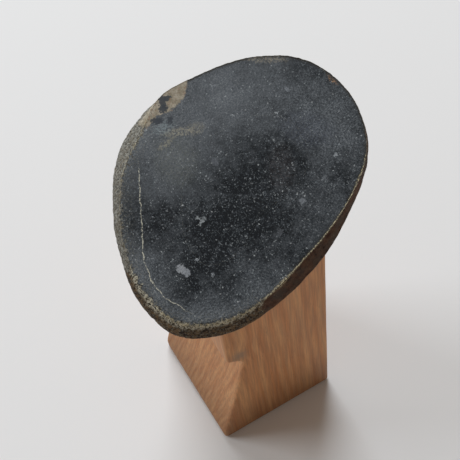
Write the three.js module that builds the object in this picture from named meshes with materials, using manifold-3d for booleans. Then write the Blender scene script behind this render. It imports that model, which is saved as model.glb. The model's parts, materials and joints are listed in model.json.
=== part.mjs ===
// A basalt massage stone on its wooden stand: a pebble cut and honed flat on one side, lying in a
// seat scribed into the top of a notched post and located by a dowel, so it lifts straight off.
// Millimetres, +Z up, origin at the middle of the post's foot. +X runs along the post's front face.
import * as THREE from "three";
import { mergeVertices } from "three/addons/utils/BufferGeometryUtils.js";
import Module from "manifold-3d";

const wasm = await Module();
wasm.setup();

// ---- driving dimensions ----
const POST_WIDTH = 47; // foot, left to right
const POST_DEPTH = 49; // front to back
const POST_EASE = 1.2; // eased edges of the wood
const NECK_LEFT = -17; // left side of the post above the notch
const NOTCH_LEFT = -11.4; // deepest point of the notch
const NOTCH_Z = 50.5;
const NECK_Z = 57.5; // where the left side is upright again
const NOTCH_ROUND = 3; // drop from there to where the notch turns in
const FLANK_BOW = new THREE.Vector2(6, 22); // bows the sloping left side: in from the foot, and up
const FOOT_LAND = 2.5; // short upright land at the floor

const FACE_CENTRE = new THREE.Vector3(6.2, -2, 112.1); // middle of the honed face
const FACE_TILT = THREE.MathUtils.degToRad(24.1); // from horizontal
const FACE_HEADING = THREE.MathUtils.degToRad(-126.2); // the way the face looks, about +Z

const STONE_THICK = 24;
const SHOULDER = 5; // depth of the pebble's widest section below the face
const DOME_FULLNESS = 0.75; // powers that turn the underside's quarter ellipse into a fuller curve:
const DOME_DROP = 1.1; // below 1 it keeps its width longer, above 1 it starts down more slowly
const POST_TOP = 12; // the post's cut top, below the face plane
const SEAT_GAP = 0.4; // between stone and scribed seat

const PIN_X = -8; // dowel axis in the stone's own frame
const PIN_Y = -4;
const PIN_R = 4;
const PIN_CLEARANCE = 0.3;
const PIN_TOP = 13; // below the face plane
const PIN_LENGTH = 34;
const PIN_CHAMFER = 0.8;
const HOLE_END_GAP = 1; // left empty beyond each end of the dowel

const RING_R = 12.5; // cork ring round the dowel
const RING_FLOOR = 26; // below the face plane
const PEBBLE_SEGMENTS = 72;
const SHOULDER_ROWS = 4;
const DOME_ROWS = 12;
const ROUND_SEGMENTS = 40;
const CURVE_SEGMENTS = 10; // in each bowed side of the post
const EASE_SEGMENTS = 3;
const CUTTER_SIZE = 200; // larger than the whole object
const CUTTER_OVERRUN = 10; // how far a cut starts outside the body that it cuts

// Widest outline of the pebble, as [direction in degrees, radius in mm] round the face centre.
const PEBBLE_OUTLINE = [
  [-90, 33.2], [-66, 32], [-48, 33.2], [-32, 36.4], [-17, 41.3],
  [-2, 45.3], [14, 47.9], [33, 48.4], [54, 45.5], [76, 42.7],
  [100, 43.2], [124, 43.4], [150, 41.9], [169, 42.6], [187, 45.3],
  [199, 47], [211, 48.1], [223, 45.4], [238, 40.8], [254, 35.8],
];

// How far the honed face's edge lies inside the widest outline: hardly at all on the right, a
// broad rounded rind on the left and a bulging wall at the front.
// Each band is [direction in degrees, half width in degrees, inset in mm].
const THIN_INSET = 0.6;
const INSET_BANDS = [
  [80, 60, 0.5], [118, 27, 4.6], [143, 22, 1.3], [165, 62, 2.4], [212, 44, 2.6], [273, 76, 3.2],
];
const ROUNDED_SIDE = 180; // direction of the shoulder's most rounded place
const ROUNDED_REACH = 80; // degrees from there to a straight wall under a sharp edge

// ---- helpers ----
const polar = ([deg, r]) => {
  const a = THREE.MathUtils.degToRad(deg);
  return new THREE.Vector3(r * Math.cos(a), r * Math.sin(a), 0);
};

// 1 near the direction centreDeg, easing to 0 at halfWidth away from it.
function lobe(angle, centreDeg, halfWidthDeg) {
  const off = Math.abs(THREE.MathUtils.euclideanModulo(
    THREE.MathUtils.radToDeg(angle) - centreDeg + 180, 360) - 180);
  return THREE.MathUtils.smoothstep(1 - off / halfWidthDeg, 0, 1);
}

// A geometry as a closed solid, moved by matrix.
function solid(geometry, matrix = new THREE.Matrix4()) {
  const g = geometry.clone().applyMatrix4(matrix);
  g.deleteAttribute("normal");
  g.deleteAttribute("uv");
  const merged = mergeVertices(g, 1e-4);
  return new wasm.Manifold(new wasm.Mesh({
    numProp: 3,
    vertProperties: merged.attributes.position.array,
    triVerts: new Uint32Array(merged.index.array),
  }));
}

function geometryOf(manifold) {
  const mesh = manifold.getMesh();
  const g = new THREE.BufferGeometry();
  g.setAttribute("position", new THREE.BufferAttribute(mesh.vertProperties, 3));
  g.setIndex(new THREE.BufferAttribute(mesh.triVerts, 1));
  g.computeVertexNormals();
  return g;
}

function part(name, manifold, color, roughness) {
  const material = new THREE.MeshStandardMaterial({ color, roughness, metalness: 0 });
  const mesh = new THREE.Mesh(geometryOf(manifold), material);
  mesh.name = name;
  return mesh;
}

// The stone's own frame: origin at the face centre, +Z out of the honed face.
const lean = new THREE.Vector3(Math.cos(FACE_HEADING), Math.sin(FACE_HEADING), 0);
const leanAxis = new THREE.Vector3(0, 0, 1).cross(lean);
const stoneFrame = new THREE.Matrix4().compose(
  FACE_CENTRE,
  new THREE.Quaternion().setFromAxisAngle(leanAxis, FACE_TILT),
  new THREE.Vector3(1, 1, 1),
);

// A cylinder along the dowel axis, between two depths below the face plane.
function boreSolid(radius, topDepth, bottomDepth) {
  const g = new THREE.CylinderGeometry(radius, radius, bottomDepth - topDepth, ROUND_SEGMENTS);
  g.rotateX(Math.PI / 2);
  g.translate(PIN_X, PIN_Y, -(topDepth + bottomDepth) / 2);
  return solid(g, stoneFrame);
}

// ---- the pebble ----
function edgeInset(angle) {
  const extra = ([deg, reach, inset]) => inset * lobe(angle, deg, reach);
  return INSET_BANDS.reduce((sum, band) => sum + extra(band), THIN_INSET);
}

// 1 gives a straight wall under a sharp arris, 2 a rounded shoulder.
const shoulderPower = (angle) => 1 + lobe(angle, ROUNDED_SIDE, ROUNDED_REACH);

// [share of the outline, depth] from the pebble's foot up to its widest section, then the shoulder.
function pebbleProfile() {
  const rows = [];
  for (let i = 0; i <= DOME_ROWS; i++) {
    const a = (Math.PI / 2) * (1 - i / DOME_ROWS);
    const depth = SHOULDER + (STONE_THICK - SHOULDER) * Math.sin(a) ** DOME_DROP;
    rows.push(new THREE.Vector2(Math.cos(a) ** DOME_FULLNESS, -depth));
  }
  rows[0].x = 0;
  for (let i = 1; i <= SHOULDER_ROWS; i++) {
    rows.push(new THREE.Vector2(1, -SHOULDER * (1 - i / SHOULDER_ROWS)));
  }
  rows.push(new THREE.Vector2(0, 0));
  return rows;
}

// The whole pebble, or one grown by a gap all round, to cut its seat.
function pebbleSolid(grow = 0) {
  const rows = pebbleProfile();
  const geometry = new THREE.LatheGeometry(rows, PEBBLE_SEGMENTS);
  const outline = new THREE.CatmullRomCurve3(PEBBLE_OUTLINE.map(polar), true, "centripetal")
    .getSpacedPoints(PEBBLE_SEGMENTS);
  const position = geometry.attributes.position;
  outline.forEach((rim, segment) => {
    const angle = Math.atan2(rim.y, rim.x);
    const radius = rim.length() + grow;
    rows.forEach((row, j) => {
      const t = row.y >= -SHOULDER ? 1 + row.y / SHOULDER : 0;
      const inset = edgeInset(angle) * t ** shoulderPower(angle);
      const r = row.x * (radius - inset);
      const z = row.y < 0 ? row.y - grow * (-row.y / STONE_THICK) : grow;
      position.setXYZ(segment * rows.length + j, r * Math.cos(angle), r * Math.sin(angle), z);
    });
  });
  return solid(geometry, stoneFrame);
}

// ---- the post ----
// Front outline: a foot that slopes in to an undercut notch on the left, and a narrower neck above.
function postBlock() {
  const right = POST_WIDTH / 2 - POST_EASE;
  const left = -POST_WIDTH / 2 + POST_EASE;
  const top = FACE_CENTRE.z + CUTTER_OVERRUN;
  const shape = new THREE.Shape();
  shape.moveTo(left, POST_EASE);
  shape.lineTo(right, POST_EASE);
  shape.lineTo(right, top);
  shape.lineTo(NECK_LEFT + POST_EASE, top);
  shape.lineTo(NECK_LEFT + POST_EASE, NECK_Z);
  shape.quadraticCurveTo(
    NOTCH_LEFT + POST_EASE, NECK_Z - NOTCH_ROUND, NOTCH_LEFT + POST_EASE, NOTCH_Z);
  shape.quadraticCurveTo(left + FLANK_BOW.x, FLANK_BOW.y, left, FOOT_LAND + POST_EASE);
  shape.closePath();
  const geometry = new THREE.ExtrudeGeometry(shape, {
    depth: POST_DEPTH - 2 * POST_EASE,
    curveSegments: CURVE_SEGMENTS,
    bevelSize: POST_EASE,
    bevelThickness: POST_EASE,
    bevelSegments: EASE_SEGMENTS,
  });
  geometry.rotateX(Math.PI / 2);
  geometry.translate(0, POST_DEPTH / 2 - POST_EASE, 0);
  return solid(geometry);
}

// Everything above the post's slanting cut top.
function aboveTop() {
  const box = new THREE.BoxGeometry(CUTTER_SIZE, CUTTER_SIZE, CUTTER_SIZE);
  box.translate(0, 0, CUTTER_SIZE / 2 - POST_TOP);
  return solid(box, stoneFrame);
}

const holeTop = PIN_TOP - HOLE_END_GAP;
const pinBottom = PIN_TOP + PIN_LENGTH;
const stone = pebbleSolid()
  .subtract(boreSolid(PIN_R + PIN_CLEARANCE, holeTop, STONE_THICK + CUTTER_OVERRUN));
const seatCutter = pebbleSolid(SEAT_GAP);
const post = postBlock()
  .subtract(aboveTop())
  .subtract(seatCutter)
  .subtract(boreSolid(RING_R + PIN_CLEARANCE, 0, RING_FLOOR))
  .subtract(boreSolid(PIN_R + PIN_CLEARANCE, 0, pinBottom + HOLE_END_GAP));
const ring = boreSolid(RING_R, POST_TOP, RING_FLOOR - PIN_CLEARANCE)
  .subtract(boreSolid(PIN_R + PIN_CLEARANCE, 0, RING_FLOOR + CUTTER_OVERRUN))
  .subtract(seatCutter);

function dowelSolid() {
  const half = PIN_LENGTH / 2;
  const profile = [
    [0, -half], [PIN_R - PIN_CHAMFER, -half], [PIN_R, -half + PIN_CHAMFER],
    [PIN_R, half - PIN_CHAMFER], [PIN_R - PIN_CHAMFER, half], [0, half],
  ].map(([x, y]) => new THREE.Vector2(x, y));
  const geometry = new THREE.LatheGeometry(profile, ROUND_SEGMENTS);
  geometry.rotateX(Math.PI / 2);
  geometry.translate(PIN_X, PIN_Y, -PIN_TOP - half);
  return solid(geometry, stoneFrame);
}

const massageStone = new THREE.Group();
massageStone.add(
  part("massage_stone", stone, 0x3a4046, 0.6),
  part("stand_post", post, 0x8a5c3c, 0.55),
  part("locating_dowel", dowelSolid(), 0xb98f5f, 0.6),
  part("cork_seat_ring", ring, 0xa9794e, 0.9),
);

export default massageStone;
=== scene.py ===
"""Looks of a basalt massage stone on its notched wooden stand.

The pebble, the post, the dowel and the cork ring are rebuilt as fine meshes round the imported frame.
Metres throughout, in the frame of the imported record. The stone's own frame has its origin in the middle
of the honed face and +Z out of that face.
"""

import json
import math

import bmesh
import bpy
import numpy as np
from mathutils import Matrix, Vector, noise


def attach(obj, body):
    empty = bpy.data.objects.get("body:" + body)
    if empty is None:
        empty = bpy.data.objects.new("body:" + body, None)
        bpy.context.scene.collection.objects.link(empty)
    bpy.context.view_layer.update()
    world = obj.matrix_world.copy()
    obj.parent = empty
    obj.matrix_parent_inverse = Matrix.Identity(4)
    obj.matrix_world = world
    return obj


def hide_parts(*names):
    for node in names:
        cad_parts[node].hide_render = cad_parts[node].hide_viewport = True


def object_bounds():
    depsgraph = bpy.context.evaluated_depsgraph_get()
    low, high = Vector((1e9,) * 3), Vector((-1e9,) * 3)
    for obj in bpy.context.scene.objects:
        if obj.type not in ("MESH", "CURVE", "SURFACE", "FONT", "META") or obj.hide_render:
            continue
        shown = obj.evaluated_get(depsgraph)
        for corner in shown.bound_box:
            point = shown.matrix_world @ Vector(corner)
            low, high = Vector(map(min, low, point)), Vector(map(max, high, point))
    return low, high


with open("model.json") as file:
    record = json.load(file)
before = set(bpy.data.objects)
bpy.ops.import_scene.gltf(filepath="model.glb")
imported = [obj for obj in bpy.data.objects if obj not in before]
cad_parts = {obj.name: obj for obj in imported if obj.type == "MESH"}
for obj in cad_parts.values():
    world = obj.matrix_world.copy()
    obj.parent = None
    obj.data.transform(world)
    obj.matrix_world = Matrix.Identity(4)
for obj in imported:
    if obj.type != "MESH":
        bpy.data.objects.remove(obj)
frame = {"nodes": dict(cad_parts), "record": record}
CAD_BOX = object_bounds()

MM = 0.001
SHOULDER = 5 * MM  # depth of the pebble's widest section below the honed face
ROUNDED_SIDE = 180  # direction in degrees of the shoulder's most rounded place
ROUNDED_REACH = 80  # degrees from there to a straight wall under a sharp edge
DOME_FULLNESS = 0.75  # powers that turn the underside's quarter ellipse into a fuller curve:
DOME_DROP = 1.1  # below 1 it keeps its width longer, above 1 it starts down more slowly
PIN_CLEARANCE = 0.3 * MM  # all round the dowel, in the stone

# How fine the meshes are.
ROUND_STEPS = 600  # vertices round the pebble
FACE_ROWS = 70
FACE_CROWDING = 1.6  # above 1, the face's rows lie closer together towards its edge
SHOULDER_ROWS = 20
DOME_ROWS = 64
DOWEL_STEPS = 96  # sides of the dowel and of the hole for it
OUTLINE_SAMPLES = 720
OUTLINE_HARMONICS = 22  # waves kept of an outline that is read off the CAD
POST_VOXEL = 0.6 * MM
RING_VOXEL = 0.3 * MM

# Relief of the meshes.
EDGE_SINK_MM = 0.4  # how far the face's edge is worn down on the coarse sides
EDGE_SINK_REACH_MM = 2.0
POST_WAVE = 0.07 * MM  # height and length of the waviness left by sanding by hand
POST_WAVE_LENGTH = 9 * MM
POST_FLAT_FOOT = 2 * MM  # the waviness fades out over this height, so that the foot stays flat
RING_CRUMB = 0.06 * MM  # height and length of the cork's granules
RING_CRUMB_LENGTH = 0.9 * MM
RING_CRUMB_SUNK = 0.5  # share of the height by which they are pressed in
DOWEL_EASE = 0.9 * MM  # radius of the dowel's rounded ends
DOWEL_EASE_STEPS = 6

# Values that the stone's attributes take away from the marks themselves.
DEEP_MM = 40.0  # marks bare cut stone, far inside the face's edge
UNDERSIDE_MM = -SHOULDER / MM - 1  # the edge distance given to the whole underside
FAR_MM = 9.0  # stands for any greater distance from the vein or the patch
VEIN_ZONE_MM = 20.0  # the vein lies nearer than this to the face's edge
MARGIN_MM = 9.0  # width of the paler margin of the face on the coarse sides
MARGIN_PALE = 0.3
SIDE_LOOK_ENDS = (0.15, 0.75)  # radians below the widest section over which a side's own look fades out
RELIEF_EASE = 0.12  # share of the shoulder's depth over which the rind's relief begins
HOLE_MARGIN = 0.01 * MM  # catches the vertices on the hole's wall

FOOT_PAINTED_SHADE = 0.62  # share of the wood's brightness left at its foot: painted shade, the wood drawn darker towards the floor
FOOT_PAINTED_SHADE_MM = 32.0  # height over which that painted shade fades out

# Light: the colour of the area lights, and the warm light from all round.
DAYLIGHT = (0.885, 0.95, 1.0)
AMBIENT_COLOUR = (1.0, 0.85, 0.715, 1)
AMBIENT_STRENGTH = 0.21
FLOOR_SIZE = 4  # metres

# Camera: where it stands, which way it looks, and the photograph's viewing angle.
CAMERA_PLACE = Vector((-68.2, -169.46, 363.87)) * MM
CAMERA_AZIMUTH = -22.46
CAMERA_ELEVATION = 55.85
CAMERA_ROLL = -9.1
FOCAL_LENGTH_PX = 1000
IMAGE_PX = 460
SENSOR_MM = 36


def srgb(red, green, blue):
    """A colour given as 0 to 255 sRGB values, as linear RGBA."""

    def linear(value):
        value /= 255
        return value / 12.92 if value <= 0.04045 else ((value + 0.055) / 1.055) ** 2.4

    return (linear(red), linear(green), linear(blue), 1.0)


def smooth(low, high, value):
    """0 below low, 1 above high, eased in between."""
    t = min(1.0, max(0.0, (value - low) / (high - low)))
    return t * t * (3 - 2 * t)


def lobe(degrees, centre, half_width):
    """1 at the direction centre, easing to 0 at half_width degrees away from it."""
    off = abs((degrees - centre + 180) % 360 - 180)
    return smooth(0, 1, 1 - off / half_width)


face_mount = next(m for m in frame["record"]["mounts"] if m["name"] == "honed_face")
FACE_AXIS = Vector(face_mount["axis"]).normalized()
STONE_WORLD = Matrix.LocRotScale(
    Vector(face_mount["pos_m"]),
    Vector((0, 0, 1)).rotation_difference(FACE_AXIS),
    None,
)


# ---- materials ----


class Surface:
    """A procedural material, built up node by node. Each method returns an output socket.

    Places are in millimetres, in the record's frame or in own_frame, so a scale is in features per mm.
    """

    def __init__(self, name, own_frame=None):
        self.material = bpy.data.materials.new(name)
        self.material.use_nodes = True
        self.tree = self.material.node_tree
        self.shader = self.tree.nodes["Principled BSDF"]
        place = self.new("ShaderNodeTexCoord").outputs["Object"]
        if own_frame is not None:
            mapping = self.new("ShaderNodeMapping", vector_type="TEXTURE")
            self.put(place, mapping.inputs["Vector"])
            self.put(own_frame.to_translation(), mapping.inputs["Location"])
            self.put(own_frame.to_euler(), mapping.inputs["Rotation"])
            place = mapping.outputs[0]
        self.mm = self.vector("SCALE", place, scale=1 / MM)

    def new(self, kind, **settings):
        node = self.tree.nodes.new(kind)
        for key, value in settings.items():
            setattr(node, key, value)
        return node

    def put(self, value, socket):
        if isinstance(value, bpy.types.NodeSocket):
            self.tree.links.new(value, socket)
        else:
            socket.default_value = value

    def vector(self, operation, a, b=None, scale=None):
        node = self.new("ShaderNodeVectorMath", operation=operation)
        self.put(a, node.inputs[0])
        if b is not None:
            self.put(b, node.inputs[1])
        if scale is not None:
            self.put(scale, node.inputs["Scale"])
        return node.outputs["Value" if operation in ("LENGTH", "DOT_PRODUCT") else "Vector"]

    def math(self, operation, a, b=None, clamp=False):
        node = self.new("ShaderNodeMath", operation=operation, use_clamp=clamp)
        self.put(a, node.inputs[0])
        if b is not None:
            self.put(b, node.inputs[1])
        return node.outputs[0]

    def span(self, value, low, high, to_low=0.0, to_high=1.0):
        """value, from low..high, eased on to to_low..to_high."""
        node = self.new("ShaderNodeMapRange", interpolation_type="SMOOTHSTEP")
        for socket, number in zip(node.inputs, (value, low, high, to_low, to_high)):
            self.put(number, socket)
        return node.outputs[0]

    def attribute(self, name):
        return self.new("ShaderNodeAttribute", attribute_name=name).outputs["Fac"]

    def noise_node(self, scale, detail, rough, place):
        node = self.new("ShaderNodeTexNoise")
        self.put(place or self.mm, node.inputs["Vector"])
        self.put(scale, node.inputs["Scale"])
        self.put(detail, node.inputs["Detail"])
        self.put(rough, node.inputs["Roughness"])
        return node

    def grain(self, scale, detail=3.0, rough=0.5, place=None):
        return self.noise_node(scale, detail, rough, place).outputs["Fac"]

    def stirred(self, scale, amount_mm):
        """Places pushed about by noise, so that shapes made from them are ragged."""
        colour = self.noise_node(scale, 3, 0.6, None).outputs["Color"]
        push = self.vector("SCALE", self.vector("SUBTRACT", colour, (0.5,) * 3), scale=amount_mm)
        return self.vector("ADD", self.mm, push)

    def spot(self, place, centre, long, wide, heading, soft=0.35):
        """1 inside an oval of these half sizes in mm, in the plane of x and y, easing to 0 outside."""
        a = math.radians(heading)
        off = self.vector("SUBTRACT", place, (*centre, 0))
        along = self.vector("DOT_PRODUCT", off, (math.cos(a) / long, math.sin(a) / long, 0))
        across = self.vector("DOT_PRODUCT", off, (-math.sin(a) / wide, math.cos(a) / wide, 0))
        squares = [self.math("MULTIPLY", v, v) for v in (along, across)]
        return self.span(self.math("ADD", *squares), 1 - soft, 1 + soft, 1, 0)

    def cells(self, scale, place=None):
        """(distance to the nearest cell centre, that cell's random value)."""
        node = self.new("ShaderNodeTexVoronoi")
        self.put(place or self.mm, node.inputs["Vector"])
        self.put(scale, node.inputs["Scale"])
        split = self.new("ShaderNodeSeparateColor")
        self.put(node.outputs["Color"], split.inputs[0])
        return node.outputs["Distance"], split.outputs[0]

    def cell_gap(self, scale):
        """Distance to the nearest boundary between cells."""
        node = self.new("ShaderNodeTexVoronoi", feature="DISTANCE_TO_EDGE")
        self.put(self.mm, node.inputs["Vector"])
        self.put(scale, node.inputs["Scale"])
        return node.outputs["Distance"]

    def mix(self, share, a, b, blend="MIX"):
        node = self.new("ShaderNodeMix", data_type="RGBA", blend_type=blend)
        self.put(share, node.inputs[0])
        self.put(a, node.inputs[6])
        self.put(b, node.inputs[7])
        return node.outputs[2]

    def bump(self, height, strength, distance_mm, under=None):
        node = self.new("ShaderNodeBump")
        self.put(height, node.inputs["Height"])
        self.put(strength, node.inputs["Strength"])
        self.put(distance_mm * MM, node.inputs["Distance"])
        if under is not None:
            self.put(under, node.inputs["Normal"])
        return node.outputs[0]

    def finish(self, colour, roughness, normal):
        self.put(colour, self.shader.inputs["Base Color"])
        self.put(roughness, self.shader.inputs["Roughness"])
        self.put(normal, self.shader.inputs["Normal"])
        return self.material


def honed_colour(s, speck, ragged, torn):
    """The cut face: dark ground, clouds that are partly painted sheen, crystals in four sizes that crowd
    together, and single marks.

    ragged and torn are places pushed about by noise, which the crystals and the marks are laid out in.
    """
    ground = s.mix(s.span(speck, 0.4, 0.64), srgb(6, 9, 13), srgb(28, 34, 41))
    cloud = s.span(s.grain(0.11, 4, 0.6), 0.3, 0.75, -0.14, 0.14)
    # tone is partly the stone's own paler areas and partly painted sheen.
    cloud = s.math("ADD", s.attribute("tone"), cloud)
    cloud = s.math("ADD", cloud, s.span(s.grain(0.35, 4, 0.7), 0.35, 0.65, -0.1, 0.1))
    clouded = s.mix(s.span(speck, 0.38, 0.66), srgb(84, 89, 95), srgb(138, 143, 148))
    grainy = s.mix(s.span(s.grain(1.6, 4, 0.9), 0.44, 0.6), srgb(52, 59, 67), srgb(168, 175, 181))
    to_back = s.vector("DOT_PRODUCT", s.mm, (-0.3, 1, 0))
    pale = s.mix(s.span(to_back, -2, 24, 0.6, 0.1), clouded, grainy)
    ground = s.mix(s.math("MAXIMUM", cloud, 0.0), ground, pale)

    crowd = s.span(s.grain(0.2, 3, 0.6), 0.32, 0.6, 0.4, 1.0)
    for scale, size, rarity, colour in FACE_CRYSTALS:
        distance, chance = s.cells(scale, ragged)
        dot = s.span(distance, size * 0.3, size, 1, 0)
        chosen = s.span(chance, rarity, rarity + 0.15)
        amount = s.math("MULTIPLY", s.math("MULTIPLY", dot, chosen), crowd)
        ground = s.mix(amount, ground, colour)

    flaky = s.span(s.grain(1.4, 5, 0.8), 0.45, 0.57, 0.05, 1.0)
    crystalline = s.span(speck, 0.36, 0.58, 0.35, 1)
    for marks, soft, texture in ((STAINS, 0.9, flaky), (INCLUSIONS, 0.35, crystalline)):
        for centre, long, wide, heading, share, colour in marks:
            mask = s.spot(torn, centre, long, wide, heading, soft)
            mask = s.math("MULTIPLY", mask, texture)
            ground = s.mix(s.math("MULTIPLY", mask, share), ground, colour)
    return ground


def rind_colour(s, edge, blotch, grit, ragged, weathered, mottled):
    """The pebble's natural skin, and the pits in it.

    It is dark brown, but grey-tan where it is weathered, and olive and granular where it is mottled.
    """
    skin = s.mix(s.span(blotch, 0.3, 0.7), srgb(70, 45, 33), srgb(106, 78, 60))
    skin = s.mix(s.span(s.grain(0.12, 4, 0.6), 0.42, 0.62, 0, 0.65), skin, srgb(82, 74, 66))
    crust = s.mix(s.span(grit, 0.46, 0.55), srgb(46, 39, 29), srgb(232, 225, 203))
    bark = s.mix(s.span(s.grain(0.8, 5, 0.75), 0.42, 0.6), srgb(44, 32, 23), srgb(112, 90, 64))
    near_edge = s.math("ADD", edge, s.math("MULTIPLY", blotch, 1.8))
    olive = s.mix(s.span(near_edge, -0.9, 0.4), bark, crust)
    grey_tan = s.mix(s.span(grit, 0.42, 0.6), srgb(84, 82, 75), srgb(168, 165, 157))
    grey_tan = s.mix(s.span(s.grain(0.7, 4, 0.7), 0.46, 0.64, 0, 0.6), grey_tan, srgb(104, 92, 72))
    skin = s.mix(mottled, skin, olive)
    skin = s.mix(weathered, skin, grey_tan)

    distance, chance = s.cells(0.95, ragged)
    pit = s.math("MULTIPLY", s.span(distance, 0.18, 0.4, 1, 0), s.span(chance, 0.6, 0.75))
    skin = s.mix(s.math("MULTIPLY", pit, 0.6), skin, srgb(46, 42, 36))
    distance, chance = s.cells(1.6, ragged)
    fleck = s.math("MULTIPLY", s.span(distance, 0.12, 0.34, 1, 0), s.span(chance, 0.7, 0.85))
    fleck = s.math("MULTIPLY", fleck, s.math("ADD", s.math("MULTIPLY", mottled, 0.6), 0.15))
    return s.mix(fleck, skin, srgb(188, 178, 150)), pit


def with_old_surface(s, colour, edge, wander, blotch, speck, torn):
    """colour with the tan patch that the cut has left, and the dark blobs in it."""
    ragged_patch = s.math("ADD", s.attribute("patch_mm"), s.math("MULTIPLY", wander, 0.35))
    tan = s.mix(s.span(blotch, 0.35, 0.65), srgb(150, 140, 120), srgb(190, 180, 162))
    tan = s.mix(s.span(speck, 0.46, 0.66, 0, 0.7), tan, srgb(112, 105, 91))
    tan = s.mix(s.span(s.grain(0.7, 4, 0.7), 0.52, 0.66, 0, 0.55), tan, srgb(138, 98, 70))
    above_shoulder = s.span(s.math("ADD", edge, wander), -4.0, -2.0)
    tan_share = s.math("MULTIPLY", s.span(ragged_patch, -0.35, 0.3, 0.95, 0), above_shoulder)
    colour = s.mix(tan_share, colour, tan)
    stone = s.mix(speck, srgb(30, 33, 38), srgb(84, 90, 98))
    blob_share = s.span(edge, -1.5, -0.5, 0, 0.92)
    for centre, long, wide, heading in DARK_BLOBS:
        blob = s.spot(torn, centre, long, wide, heading)
        colour = s.mix(s.math("MULTIPLY", blob, blob_share), colour, stone)
    return colour


def basalt_material():
    """Honed blue-grey basalt with fine pale crystals, and the pebble's brown and tan natural rind."""
    s = Surface("basalt", STONE_WORLD)
    edge = s.attribute("edge_mm")
    blotch = s.grain(0.45, 4, 0.65)
    speck = s.grain(1.7, 6, 0.85)
    grit = s.grain(1.5, 5, 0.8)
    ragged = s.stirred(1.8, 1.5)
    torn = s.stirred(1.4, 3.2)
    unsteady = s.math("MULTIPLY", s.math("SUBTRACT", blotch, 0.5), 1.8)
    kinds = ("weathered", "mottled")
    weathered, mottled = (s.span(s.math("ADD", s.attribute(k), unsteady), 0.25, 0.75) for k in kinds)
    ground = honed_colour(s, speck, ragged, torn)
    skin, pit = rind_colour(s, edge, blotch, grit, ragged, weathered, mottled)

    # The honed face breaks up into rind within a few millimetres of its edge on the coarse sides.
    coarse = s.math("MAXIMUM", weathered, mottled)
    wander = s.math("MULTIPLY", s.math("SUBTRACT", s.grain(0.8, 5, 0.75), 0.5), 9.0)
    reach = s.math("MULTIPLY", s.math("ADD", wander, 0.4), coarse)
    rind_share = s.span(s.math("SUBTRACT", edge, reach), -0.25, 0.35, 1, 0)
    colour = s.mix(rind_share, ground, skin)
    scatter = s.math("MULTIPLY", s.span(edge, 0.0, 6.5, 0.8, 0), s.span(grit, 0.5, 0.66))
    colour = s.mix(s.math("MULTIPLY", scatter, coarse), colour, srgb(140, 138, 126))

    # On the other sides the face ends in a thin dark rim.
    rim = s.math("MULTIPLY", s.span(edge, -0.5, 0.0), s.span(edge, 0.1, 1.2, 0.8, 0))
    rim = s.math("MULTIPLY", rim, s.span(blotch, 0.35, 0.55, 0.3, 1))
    colour = s.mix(s.math("MULTIPLY", rim, s.math("SUBTRACT", 1.0, coarse)), colour, srgb(50, 46, 38))

    colour = with_old_surface(s, colour, edge, wander, blotch, speck, torn)

    # A painted highlight in crumbs, where the cut's sharp edge catches the light, and the vein, which
    # comes and goes.
    crumbs = s.span(s.grain(1.9, 4, 0.8), 0.44, 0.6)
    off_highlight = s.math("DIVIDE", s.math("ABSOLUTE", edge), s.attribute("line_mm"))
    line = s.math("MULTIPLY", s.span(off_highlight, 0.35, 1.0, 1, 0), s.math("MULTIPLY", crumbs, 0.85))
    colour = s.mix(line, colour, srgb(206, 192, 156))
    vein = s.span(s.math("ABSOLUTE", s.attribute("vein_mm")), 0.05, 0.21, 1, 0)
    vein = s.math("MULTIPLY", vein, s.span(s.grain(1.2, 3, 0.8), 0.44, 0.55, 0.08, 1.0))
    colour = s.mix(vein, colour, srgb(222, 219, 200))

    fine = s.bump(speck, 0.3, 0.1)
    coarse_height = s.math("SUBTRACT", s.math("MULTIPLY", s.grain(1.4, 6, 0.75), 1.2), pit)
    normal = s.bump(s.math("MULTIPLY", coarse_height, rind_share), 0.8, 0.45, fine)
    roughness = s.math("ADD", s.math("MULTIPLY", rind_share, 0.3), 0.55)
    s.shader.inputs["Specular IOR Level"].default_value = 0.25
    return s.finish(colour, roughness, normal)


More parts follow.
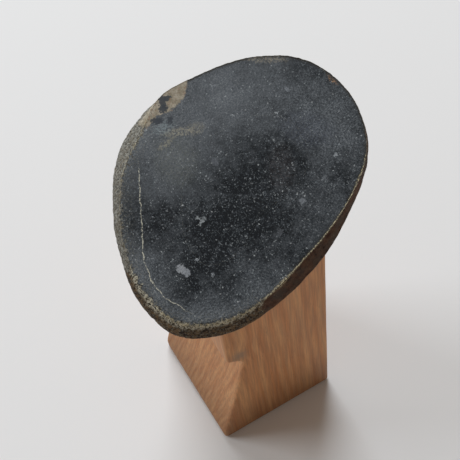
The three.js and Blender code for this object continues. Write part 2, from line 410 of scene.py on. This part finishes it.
def wood_material(name, light, dark, streak_mm, heading, lean, knot=None):
    """Solid wood with upright grain: broad soft streaks, fine fibres and short pores.

    heading is the way the growth layers are stacked, in degrees about +Z; lean is how far the grain
    drifts that way for each millimetre up; knot is a place in mm that the layers bend round.
    """
    s = Surface(name)
    a = math.radians(heading)
    ahead, aside = Vector((math.cos(a), math.sin(a), 0)), Vector((-math.sin(a), math.cos(a), 0))
    layer = s.vector("DOT_PRODUCT", s.mm, ahead)
    up = s.vector("DOT_PRODUCT", s.mm, (0, 0, 1))
    layer = s.math("ADD", layer, s.math("MULTIPLY", up, lean))
    stretched = s.vector("MULTIPLY", s.mm, (1.0, 1.0, 0.22))
    sway = s.math("MULTIPLY", s.math("SUBTRACT", s.grain(0.05, 2, 0.4, stretched), 0.5), 3.0)
    layer = s.math("ADD", layer, sway)
    eye = 0.0
    if knot is not None:
        away = s.vector("SUBTRACT", s.mm, knot)
        reach = s.vector("LENGTH", s.vector("MULTIPLY", away, (0.8, 0.5, 0.75)))
        layer = s.math("ADD", layer, s.span(reach, 0.0, 9.0, 1.3, 0.0))
        frayed = s.math("ADD", reach, s.math("MULTIPLY", s.grain(0.9, 3, 0.7), 3.0))
        eye = s.span(frayed, 1.6, 5.4, 0.6, 0.0)

    # Places in the layers' own terms: across them, along them, and up the grain.
    grain_place = s.new("ShaderNodeCombineXYZ")
    s.put(layer, grain_place.inputs[0])
    s.put(s.math("MULTIPLY", s.vector("DOT_PRODUCT", s.mm, aside), 0.25), grain_place.inputs[1])
    s.put(s.math("MULTIPLY", up, 0.02), grain_place.inputs[2])
    in_layers = grain_place.outputs[0]
    streak = s.grain(1 / streak_mm, 2, 0.5, in_layers)
    colour = s.mix(s.span(streak, 0.24, 0.76), light, dark)
    tint = s.grain(0.045, 2, 0.5)
    colour = s.mix(s.span(tint, 0.35, 0.65, 0, 0.2), colour, dark)
    fibre = s.grain(1.7, 4, 0.7, s.vector("MULTIPLY", s.mm, (1.0, 1.0, 0.04)))
    shade = s.span(fibre, 0.3, 0.7, 0.8, 1.17)
    colour = s.vector("SCALE", colour, scale=shade)
    # Painted shade: the colour is darkened towards the wood's foot.
    colour = s.vector("SCALE", colour, scale=s.span(up, 0.0, FOOT_PAINTED_SHADE_MM, FOOT_PAINTED_SHADE, 1.0))
    distance, chance = s.cells(1.9, s.vector("MULTIPLY", s.mm, (1.0, 1.0, 0.11)))
    pore = s.math("MULTIPLY", s.span(distance, 0.08, 0.24, 1, 0), s.span(chance, 0.6, 0.8))
    colour = s.vector("SCALE", colour, scale=s.span(pore, 0, 1, 1.0, 0.74))
    colour = s.mix(eye, colour, srgb(126, 114, 102))

    height = s.math("SUBTRACT", s.math("MULTIPLY", fibre, 0.5), s.math("MULTIPLY", pore, 0.8))
    normal = s.bump(height, 0.25, 0.08)
    roughness = s.span(fibre, 0.3, 0.7, 0.5, 0.64)
    s.shader.inputs["Specular IOR Level"].default_value = 0.35
    return s.finish(colour, roughness, normal)


def cork_material():
    """Agglomerated cork: pressed granules of several browns with dark gaps."""
    s = Surface("cork")
    granules = 0.9  # per mm
    chance = s.cells(granules)[1]
    colour = s.mix(chance, srgb(150, 108, 70), srgb(196, 152, 104))
    crumb = s.grain(3.0, 4, 0.7)
    colour = s.mix(s.span(crumb, 0.5, 0.75, 0, 0.6), colour, srgb(106, 70, 42))
    seam = s.span(s.cell_gap(granules), 0.02, 0.1, 1, 0)
    colour = s.mix(s.math("MULTIPLY", seam, 0.7), colour, srgb(84, 54, 32))
    height = s.math("SUBTRACT", crumb, seam)
    return s.finish(colour, 0.9, s.bump(height, 0.6, 0.25))


# ---- meshes ----


def make_object(name, mesh, material, body, slot, *nodes):
    """A finished piece: shaded smooth, riding on its body, and standing for its CAD nodes."""
    obj = bpy.data.objects.new(name, mesh)
    bpy.context.scene.collection.objects.link(obj)
    mesh.materials.clear()
    mesh.materials.append(material)
    mesh.shade_smooth()
    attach(obj, body)
    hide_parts(*nodes)
    return obj


def evaluated(obj):
    """obj's mesh with its modifiers applied; the object itself is removed."""
    graph = bpy.context.evaluated_depsgraph_get()
    mesh = bpy.data.meshes.new_from_object(obj.evaluated_get(graph))
    bpy.data.objects.remove(obj)
    return mesh


def coordinates(mesh):
    flat = np.empty(len(mesh.vertices) * 3, np.float32)
    mesh.vertices.foreach_get("co", flat)
    return flat.reshape(-1, 3).astype(float)


def remeshed(node, voxel):
    """A fine, evenly meshed copy of a CAD node."""
    obj = bpy.data.objects.new("remesh_work", frame["nodes"][node].data.copy())
    bpy.context.scene.collection.objects.link(obj)
    modifier = obj.modifiers.new("remesh", "REMESH")
    modifier.mode = "VOXEL"
    modifier.voxel_size = voxel
    relax = obj.modifiers.new("relax", "CORRECTIVE_SMOOTH")
    relax.use_only_smooth = True
    relax.iterations = 4
    return evaluated(obj)


def in_stone_frame(node):
    """A CAD node's vertices in the stone's own frame."""
    to_local = np.array(STONE_WORLD.inverted())
    co = coordinates(frame["nodes"][node].data)
    return co @ to_local[:3, :3].T + to_local[:3, 3]


def roughened(node, voxel, height, length, sunk=0.0, flat_foot=None):
    """A fine copy of a CAD node, moved along its normals by noise of this height and length.

    sunk is a share of the height that is taken off everywhere. Over the height flat_foot from the ground
    the noise fades in.
    """
    mesh = remeshed(node, voxel)
    co = coordinates(mesh)
    normals = np.array([v.normal for v in mesh.vertices])
    relief = height * (np.array([noise.noise(Vector(p) / length) for p in co]) - sunk)
    if flat_foot is not None:
        relief *= np.clip(co[:, 2] / flat_foot, 0, 1)
    co += normals * relief[:, None]
    mesh.vertices.foreach_set("co", co.astype(np.float32).ravel())
    return mesh


def ring_radius(points, depth, tolerance=0.05 * MM, least=20 * MM):
    """The CAD pebble's outline at one depth, as a smooth function of direction in radians."""
    radius = np.hypot(points[:, 0], points[:, 1])
    ring = points[(abs(points[:, 2] + depth) < tolerance) & (radius > least)]
    angle = np.arctan2(ring[:, 1], ring[:, 0])
    order = np.argsort(angle)
    ring_at = np.hypot(ring[order, 0], ring[order, 1])
    steps = np.linspace(-math.pi, math.pi, OUTLINE_SAMPLES, endpoint=False)
    sampled = np.interp(steps, angle[order], ring_at, period=2 * math.pi)
    wave = np.fft.rfft(sampled) / len(steps)

    def radius_at(a):
        k = np.arange(1, OUTLINE_HARMONICS)
        terms = wave[1:OUTLINE_HARMONICS] * np.exp(1j * k * (a + math.pi))
        return float(wave[0].real + 2 * terms.real.sum())

    return radius_at


def dowel_extent():
    """The CAD dowel in the stone's frame: x and y of its axis, its radius, its bottom and its top."""
    pin = in_stone_frame("locating_dowel")
    low, high = pin.min(0), pin.max(0)
    centre = (low + high) / 2
    return centre[0], centre[1], (high[0] - low[0]) / 2, low[2], high[2]


# ---- the stone ----

# All places on the face are in mm from its middle. The thin pale vein runs through these.
VEIN = [
    (-22.6, 24.4), (-28.7, 13.3), (-31.5, 8.3), (-36.1, -0.4), (-37.8, -7.2), (-36.7, -14.6),
    (-33.4, -20.9),
]
# Paler areas of the face, partly the stone's own paler tone and partly painted sheen, the light's
# reflection on the honed face: x, y, radius, and how pale.
PALE_AND_SHEEN_AREAS = [
    (2, 32, 20, 0.7), (23, 30, 17, 0.6), (38, 7, 15, 0.58), (-15, 20, 13, 0.6),
    (-31, -4, 10, 0.36), (-31, -26, 8, 0.5), (-9, -28, 14, 0.54), (19, -17, 13, 0.42),
    (-38, -1, 6, 0.4), (-39, -13, 6, 0.4), (37, -6, 8, 0.3),
]
# Outline of the tan patch of old surface, which runs out over the edge.
TAN_PATCH = [
    (4, 47), (6.2, 41), (4.8, 38.9), (2.4, 36.9), (-0.6, 35.8), (-5.2, 35.6), (-8, 36.6), (-10.5, 35.7),
    (-13, 35), (-14, 37.3), (-18, 42), (-6, 48),
]
# Dark blobs in the patch: middle, half length, half width, and heading in degrees.
DARK_BLOBS = [
    ((-4.2, 39.6), 2.6, 1.3, 65), ((-5.2, 37.4), 1.6, 1.3, 0), ((-2.2, 39.6), 1.1, 0.8, 20),
    ((-9.0, 35.3), 2.2, 1.1, -35), ((-5.4, 32.9), 1.3, 0.9, 40),
]
# Soft stains: middle, half length, half width, heading, strength, colour.
STAINS = [
    ((-0.3, 26), 3.0, 1.8, -15, 0.7, srgb(156, 151, 136)),
    ((-5.6, 28.4), 4.4, 1.3, -25, 0.85, srgb(172, 167, 150)),
    ((-10.5, 27.2), 2.8, 0.9, 5, 0.85, srgb(172, 167, 150)),
    ((-10.5, 21.5), 8.5, 6.5, 80, 0.45, srgb(102, 105, 96)),
    ((-8.2, 32.2), 3.6, 2.0, -10, 0.8, srgb(140, 152, 156)),
    ((28.9, 6), 8, 5, -50, 0.3, srgb(92, 98, 116)),
    ((15.5, 0), 7, 4, 60, 0.25, srgb(78, 64, 60)),
    ((30.5, 33), 7, 1.3, -38, 0.75, srgb(158, 150, 134)),
    ((44.2, 14.7), 2.2, 0.6, -80, 0.85, srgb(170, 132, 98)),
]
# Crystals big enough to be seen one by one, in the same terms.
INCLUSIONS = [
    ((-27.9, -9.3), 1.5, 1.2, -68, 0.9, srgb(172, 176, 182)),
    ((-27.0, -11.3), 1.4, 1.1, -60, 0.9, srgb(160, 165, 172)),
    ((-14.8, 1.2), 1.0, 0.4, -70, 0.8, srgb(168, 174, 178)),
    ((-14.7, -0.5), 1.2, 0.4, 10, 0.85, srgb(176, 182, 186)),
    ((-13.2, 0.3), 1.0, 0.4, -40, 0.7, srgb(160, 166, 170)),
    ((-0.8, 13.4), 1.3, 0.9, 90, 0.6, srgb(112, 116, 124)),
    ((15, -12.3), 1.2, 0.8, -40, 0.75, srgb(140, 145, 152)),
    ((24.5, -10.1), 1.0, 0.5, 0, 0.6, srgb(130, 135, 140)),
    ((4, -16.7), 1.2, 0.8, 30, 0.4, srgb(120, 124, 130)),
    ((11.1, 34), 1.1, 0.35, 50, 0.6, srgb(140, 145, 152)),
    ((12.7, 34.5), 0.9, 0.3, -5, 0.6, srgb(140, 145, 152)),
    ((-22.2, -9.7), 0.6, 0.45, 0, 0.9, srgb(170, 176, 182)),
    ((-20.5, -16.4), 0.5, 0.4, 0, 0.9, srgb(170, 176, 182)),
    ((11.9, 23.2), 0.4, 0.4, 0, 0.9, srgb(180, 186, 190)),
    ((23.9, 15.6), 0.5, 0.4, 0, 0.9, srgb(178, 184, 188)),
    ((30.8, 20.3), 1.0, 0.5, -60, 0.6, srgb(150, 156, 164)),
    ((31.6, -6.1), 0.6, 0.5, 0, 0.9, srgb(170, 176, 182)),
]
# Directions in degrees between which the rind has a look of its own, and over how many it fades out.
WEATHERED_SIDE = (104, 176, 10)
MOTTLED_SIDE = (178, 240, 16)
# Painted highlight where the cut's sharp edge catches the light, a thin pale band: its width in mm all
# round, and what is added between directions.
HIGHLIGHT_LINE_MM = 0.08
WIDER_HIGHLIGHT_LINE = [(0.7, 206, 262, 10), (0.4, 264, 332, 8), (0.5, 332, 342, 4), (0.12, 108, 146, 8)]
# Crystals scattered all over: cells per mm, size as a share of a cell, rarity, colour.
FACE_CRYSTALS = [
    (2.1, 0.48, 0.4, srgb(92, 99, 105)),
    (1.6, 0.36, 0.48, srgb(142, 149, 154)),
    (1.1, 0.28, 0.66, srgb(180, 186, 189)),
    (0.6, 0.2, 0.82, srgb(196, 201, 203)),
]


def band(degrees, low, high, ease):
    """1 for directions between low and high, easing to 0 over ease degrees beyond them."""
    return smooth(low - ease, low, degrees) * (1 - smooth(high, high + ease, degrees))


def segment_distance(x, y, start, end):
    """Distance from a point to a segment, and which side of it the point is on (1 or -1)."""
    (ax, ay), (bx, by) = start, end
    dx, dy = bx - ax, by - ay
    t = min(1.0, max(0.0, ((x - ax) * dx + (y - ay) * dy) / (dx * dx + dy * dy)))
    side = math.copysign(1, (x - ax) * dy - (y - ay) * dx)
    return math.hypot(x - ax - t * dx, y - ay - t * dy), side


def vein_distance(x, y):
    """Signed distance in mm from a point on the face to the vein, large beyond its ends."""
    off, side = min(segment_distance(x, y, *ends) for ends in zip(VEIN, VEIN[1:]))
    wobble = 0.5 * noise.noise(Vector((x * 0.5, y * 0.5, 3.0)))
    wobble += 0.25 * noise.noise(Vector((x, y, 7.0)) * 1.3)
    return min(off, FAR_MM) * side + wobble


def patch_distance(x, y):
    """Distance in mm from a point to the tan patch's outline, negative inside."""
    ends = list(zip(TAN_PATCH, TAN_PATCH[1:] + TAN_PATCH[:1]))
    off = min(segment_distance(x, y, *pair)[0] for pair in ends)
    inside = False
    for (ax, ay), (bx, by) in ends:
        if (ay > y) != (by > y) and x < ax + (y - ay) * (bx - ax) / (by - ay):
            inside = not inside
    return -off if inside else min(off, FAR_MM)


def pale_and_sheen_share(x, y):
    """How pale the ground is at a point of the face, partly its own tone and partly painted sheen; below
    0 it stays dark.
    """
    share = -0.1
    for cx, cy, radius, amount in PALE_AND_SHEEN_AREAS:
        share += amount * math.exp(-((x - cx) ** 2 + (y - cy) ** 2) / radius**2)
    return share


def pebble_rows():
    """Rows from the middle of the honed face, over the edge and the shoulder, to the foot.

    Each is (kind, value): a face row's share of the face radius, a shoulder row's height above the
    widest section as a share of the shoulder, or a dome row's angle below the widest section.
    """
    rows = [("face", 1 - (1 - i / FACE_ROWS) ** FACE_CROWDING) for i in range(1, FACE_ROWS + 1)]
    rows += [("shoulder", 1 - i / SHOULDER_ROWS) for i in range(1, SHOULDER_ROWS + 1)]
    rows += [("dome", (math.pi / 2) * i / DOME_ROWS) for i in range(1, DOME_ROWS)]
    return rows


def rind_relief(point_mm, coarse):
    """Height of the rind's lumps, pits and grains in mm, less a little to keep to the CAD's size."""
    p = Vector(point_mm)
    lumps = 0.25 * noise.noise(p * 0.09) + 0.16 * noise.noise(p * 0.3)
    pits = noise.noise(p * 0.8 + Vector((5, 0, 0)))
    grains = (0.05 + 0.05 * coarse) * noise.noise(p * 2.0)
    return lumps - (0.1 + 0.3 * coarse) * max(0.0, pits) + grains - 0.15


class Side:
    """What differs round the pebble, in one direction."""

    def __init__(self, angle, face_radius, widest_radius):
        degrees = math.degrees(angle) % 360
        p = Vector((math.cos(angle), math.sin(angle), 0))
        self.face = face_radius(angle)
        self.widest = widest_radius(angle)
        self.rounded = lobe(degrees, ROUNDED_SIDE, ROUNDED_REACH)
        self.weathered = band(degrees, *WEATHERED_SIDE)
        self.mottled = band(degrees, *MOTTLED_SIDE)
        self.coarse = max(self.weathered, self.mottled)
        # Width of the painted highlight along the cut's edge in this direction.
        self.line = HIGHLIGHT_LINE_MM + sum(more * band(degrees, *span) for more, *span in WIDER_HIGHLIGHT_LINE)
        # Unevenness and chips along the cut's edge.
        small = 0.16 * noise.noise(p * 28) + 0.1 * noise.noise(p * 75)
        notch = 0.45 * max(0.0, noise.noise(p * 12) - 0.42)
        self.chip = (small - notch) * (1 + 0.8 * self.coarse) * MM

    def section(self, kind, value, thick):
        """A point of the pebble's section in this direction, for one of pebble_rows.

        Gives its radius, its height, how many mm it lies inside the face's edge (negative outside),
        how much of the rind's relief it has, and how much of this side's own look, which the underside
        loses.
        """
        sink = MM * self.coarse * EDGE_SINK_MM
        if kind == "face":
            in_mm = self.face * (1 - value) / MM
            height = -sink * max(0.0, 1 - in_mm / EDGE_SINK_REACH_MM) ** 2
            return self.face * value + self.chip * value**12, height, in_mm, 0.0, 1.0
        if kind == "shoulder":
            inset = self.widest - self.face
            radius = self.widest - inset * value ** (1 + self.rounded) + self.chip * value**3
            height = -SHOULDER * (1 - value) - sink * value**4
            return radius, height, -(1 - value) * SHOULDER / MM, smooth(0, RELIEF_EASE, 1 - value), 1.0
        radius = self.widest * math.cos(value) ** DOME_FULLNESS
        height = -SHOULDER - (thick - SHOULDER) * math.sin(value) ** DOME_DROP
        return radius, height, UNDERSIDE_MM, 1.0, 1 - smooth(*SIDE_LOOK_ENDS, value)


def pebble_faces(row_count, last):
    """The faces over rows of ROUND_STEPS vertices each, from vertex 0 to the vertex numbered last."""
    n = ROUND_STEPS
    faces = [(0, 1 + i, 1 + (i + 1) % n) for i in range(n)]
    for row in range(row_count - 1):
        start = 1 + row * n
        for i in range(n):
            j = (i + 1) % n
            faces.append((start + i, start + n + i, start + n + j, start + j))
    foot = 1 + (row_count - 1) * n
    faces += [(foot + i, last, foot + (i + 1) % n) for i in range(n)]
    return faces


def build_stone():
    """The pebble, row by row, with the attributes that its material reads, and the dowel's hole."""
    points = in_stone_frame("massage_stone")
    thick = -points[:, 2].min()
    face_radius = ring_radius(points, 0)
    widest_radius = ring_radius(points, SHOULDER)
    rows = pebble_rows()
    angles = [2 * math.pi * i / ROUND_STEPS for i in range(ROUND_STEPS)]
    sides = [Side(a, face_radius, widest_radius) for a in angles]
    plain = dict(edge_mm=DEEP_MM, vein_mm=FAR_MM, tone=0.5, patch_mm=FAR_MM)
    plain.update(weathered=0.0, mottled=0.0, line_mm=0.1)
    vertices = [(0.0, 0.0, 0.0)]
    facts = [plain]

    for kind, value in rows:
        for a, side in zip(angles, sides):
            r, z, in_mm, outside, kept = side.section(kind, value, thick)
            x, y = r * math.cos(a), r * math.sin(a)
            if outside > 0:
                out = Vector((x / side.widest**2, y / side.widest**2, (z + SHOULDER) / thick**2))
                lift = rind_relief((x / MM, y / MM, z / MM), side.coarse) * MM * outside
                x, y, z = Vector((x, y, z)) + out.normalized() * lift
            mx, my = x / MM, y / MM
            fact = dict(plain, edge_mm=in_mm, line_mm=side.line)
            fact.update(weathered=side.weathered * kept, mottled=side.mottled * kept)
            if kind != "dome":
                margin = MARGIN_PALE * side.coarse * smooth(0, 1, 1 - in_mm / MARGIN_MM)
                # tone carries the paler areas, partly painted sheen, and the paler margin.
                fact.update(tone=pale_and_sheen_share(mx, my) + margin, patch_mm=patch_distance(mx, my))
            if kind == "face" and in_mm < VEIN_ZONE_MM:
                fact.update(vein_mm=vein_distance(mx, my))
            vertices.append((x, y, z))
            facts.append(fact)
    vertices.append((0.0, 0.0, -thick))
    facts.append(dict(plain, edge_mm=UNDERSIDE_MM))

    mesh = bpy.data.meshes.new("massage_stone_fine")
    mesh.from_pydata(vertices, [], pebble_faces(len(rows), len(vertices) - 1))
    for name in plain:
        layer = mesh.attributes.new(name, "FLOAT", "POINT")
        layer.data.foreach_set("value", np.array([f[name] for f in facts], np.float32))
    return drilled(mesh)


def drilled(mesh):
    """The stone with the blind hole for its dowel."""
    cx, cy, dowel_radius, bottom, dowel_top = dowel_extent()
    radius = dowel_radius + PIN_CLEARANCE
    top = dowel_top + MM
    tool = bmesh.new()
    bmesh.ops.create_cone(
        tool,
        cap_ends=True,
        segments=DOWEL_STEPS,
        radius1=radius,
        radius2=radius,
        depth=top - bottom,
        matrix=Matrix.Translation((cx, cy, (top + bottom) / 2)),
    )
    cutter_mesh = bpy.data.meshes.new("drill")
    tool.to_mesh(cutter_mesh)
    tool.free()
    cutter = bpy.data.objects.new("drill", cutter_mesh)
    work = bpy.data.objects.new("stone_work", mesh)
    for obj in (cutter, work):
        bpy.context.scene.collection.objects.link(obj)
    modifier = work.modifiers.new("hole", "BOOLEAN")
    modifier.operation = "DIFFERENCE"
    modifier.solver = "EXACT"
    modifier.object = cutter
    result = evaluated(work)
    bpy.data.objects.remove(cutter)

    # The hole's walls are bare stone.
    edge = result.attributes["edge_mm"].data
    co = coordinates(result)
    inside = np.hypot(co[:, 0] - cx, co[:, 1] - cy) < radius + HOLE_MARGIN
    for i in np.nonzero(inside & (co[:, 2] < -SHOULDER))[0]:
        edge[int(i)].value = DEEP_MM
    result.transform(STONE_WORLD)
    return result


# ---- the stand ----


def build_dowel():
    """A smooth dowel with rounded ends, turned about its own axis in the stone's frame."""
    cx, cy, radius, bottom, top = dowel_extent()
    profile = []
    for end, sign in ((bottom, -1), (top, 1)):
        arc = []
        for i in range(DOWEL_EASE_STEPS + 1):
            a = (math.pi / 2) * i / DOWEL_EASE_STEPS
            r = radius - DOWEL_EASE * (1 - math.sin(a))
            arc.append((r, end - sign * DOWEL_EASE * (1 - math.cos(a))))
        profile += arc if sign < 0 else arc[::-1]
    turn = [2 * math.pi * i / DOWEL_STEPS for i in range(DOWEL_STEPS)]
    work = bmesh.new()
    loops = []
    for r, z in profile:
        loops.append([work.verts.new((cx + r * math.cos(a), cy + r * math.sin(a), z)) for a in turn])
    for lower, upper in zip(loops, loops[1:]):
        for i in range(DOWEL_STEPS):
            j = (i + 1) % DOWEL_STEPS
            work.faces.new((lower[i], lower[j], upper[j], upper[i]))
    work.faces.new(loops[0][::-1])
    work.faces.new(loops[-1])
    mesh = bpy.data.meshes.new("locating_dowel_fine")
    work.to_mesh(mesh)
    work.free()
    mesh.transform(STONE_WORLD)
    return mesh


def build_post():
    """The post, with softened edges and the slight waviness of hand-sanded wood."""
    return roughened("stand_post", POST_VOXEL, POST_WAVE, POST_WAVE_LENGTH, flat_foot=POST_FLAT_FOOT)


def build_ring():
    """The cork ring, with its granules standing out a little."""
    return roughened("cork_seat_ring", RING_VOXEL, RING_CRUMB, RING_CRUMB_LENGTH, sunk=RING_CRUMB_SUNK)


basalt = basalt_material()
post_wood = wood_material(
    "post_wood",
    light=srgb(213, 159, 109),
    dark=srgb(188, 126, 79),
    streak_mm=1.1,
    heading=58,
    lean=0.02,
    knot=(-12.4, -24.5, 58.4),
)
dowel_wood = wood_material(
    "dowel_wood",
    light=srgb(214, 178, 130),
    dark=srgb(190, 150, 104),
    streak_mm=1.8,
    heading=70,
    lean=0.0,
)

make_object("stone", build_stone(), basalt, "stone", "basalt", "massage_stone")
make_object("post", build_post(), post_wood, "stand", "post_wood", "stand_post")
make_object("dowel", build_dowel(), dowel_wood, "stand", "dowel_wood", "locating_dowel")
make_object("ring", build_ring(), cork_material(), "stand", "cork", "cork_seat_ring")


# ---- stage, light and camera ----


def build_floor():
    """A plain pale table top."""
    bpy.ops.mesh.primitive_plane_add(size=FLOOR_SIZE)
    floor = bpy.context.object
    floor.name = "floor"
    material = bpy.data.materials.new("floor")
    material.use_nodes = True
    shader = material.node_tree.nodes["Principled BSDF"]
    shader.inputs["Base Color"].default_value = srgb(232, 230, 229)
    shader.inputs["Roughness"].default_value = 0.8
    floor.data.materials.append(material)


def area_light(name, size, power, azimuth, elevation, distance):
    """A soft square light that looks at the object. Azimuth is the way it stands off, about +Z."""
    a, e = math.radians(azimuth), math.radians(elevation)
    off = Vector((math.cos(a) * math.cos(e), math.sin(a) * math.cos(e), math.sin(e)))
    data = bpy.data.lights.new(name, "AREA")
    data.size = size
    data.energy = power
    data.color = DAYLIGHT
    light = bpy.data.objects.new(name, data)
    light.location = off * distance + Vector((0, 0, CAD_BOX[1].z / 2))
    light.rotation_euler = off.to_track_quat("Z", "Y").to_euler()
    bpy.context.scene.collection.objects.link(light)


def build_camera():
    """The photograph's viewing angle, with the stone and the post's foot framed as there."""
    data = bpy.data.cameras.new("camera")
    data.sensor_width = SENSOR_MM
    data.lens = FOCAL_LENGTH_PX / IMAGE_PX * SENSOR_MM
    data.clip_start = 0.01
    camera = bpy.data.objects.new("camera", data)
    a, e = math.radians(CAMERA_AZIMUTH), math.radians(CAMERA_ELEVATION)
    back = Vector((math.sin(a) * math.cos(e), -math.cos(a) * math.cos(e), math.sin(e)))
    roll = Matrix.Rotation(math.radians(CAMERA_ROLL), 3, "Z")
    turn = back.to_track_quat("Z", "Y").to_matrix() @ roll
    camera.matrix_world = Matrix.Translation(CAMERA_PLACE) @ turn.to_4x4()
    bpy.context.scene.collection.objects.link(camera)
    bpy.context.scene.camera = camera


def light_all_round():
    """The warm, even light that the room gives back."""
    world = bpy.data.worlds.new("world")
    world.use_nodes = True
    background = world.node_tree.nodes["Background"]
    background.inputs["Color"].default_value = AMBIENT_COLOUR
    background.inputs["Strength"].default_value = AMBIENT_STRENGTH
    bpy.context.scene.world = world


build_floor()
area_light("key", size=1.7, power=57, azimuth=137, elevation=40, distance=4.0)
area_light("window", size=1.62, power=73, azimuth=69, elevation=45, distance=3.0)
light_all_round()
bpy.context.scene.view_settings.view_transform = "Standard"
build_camera()
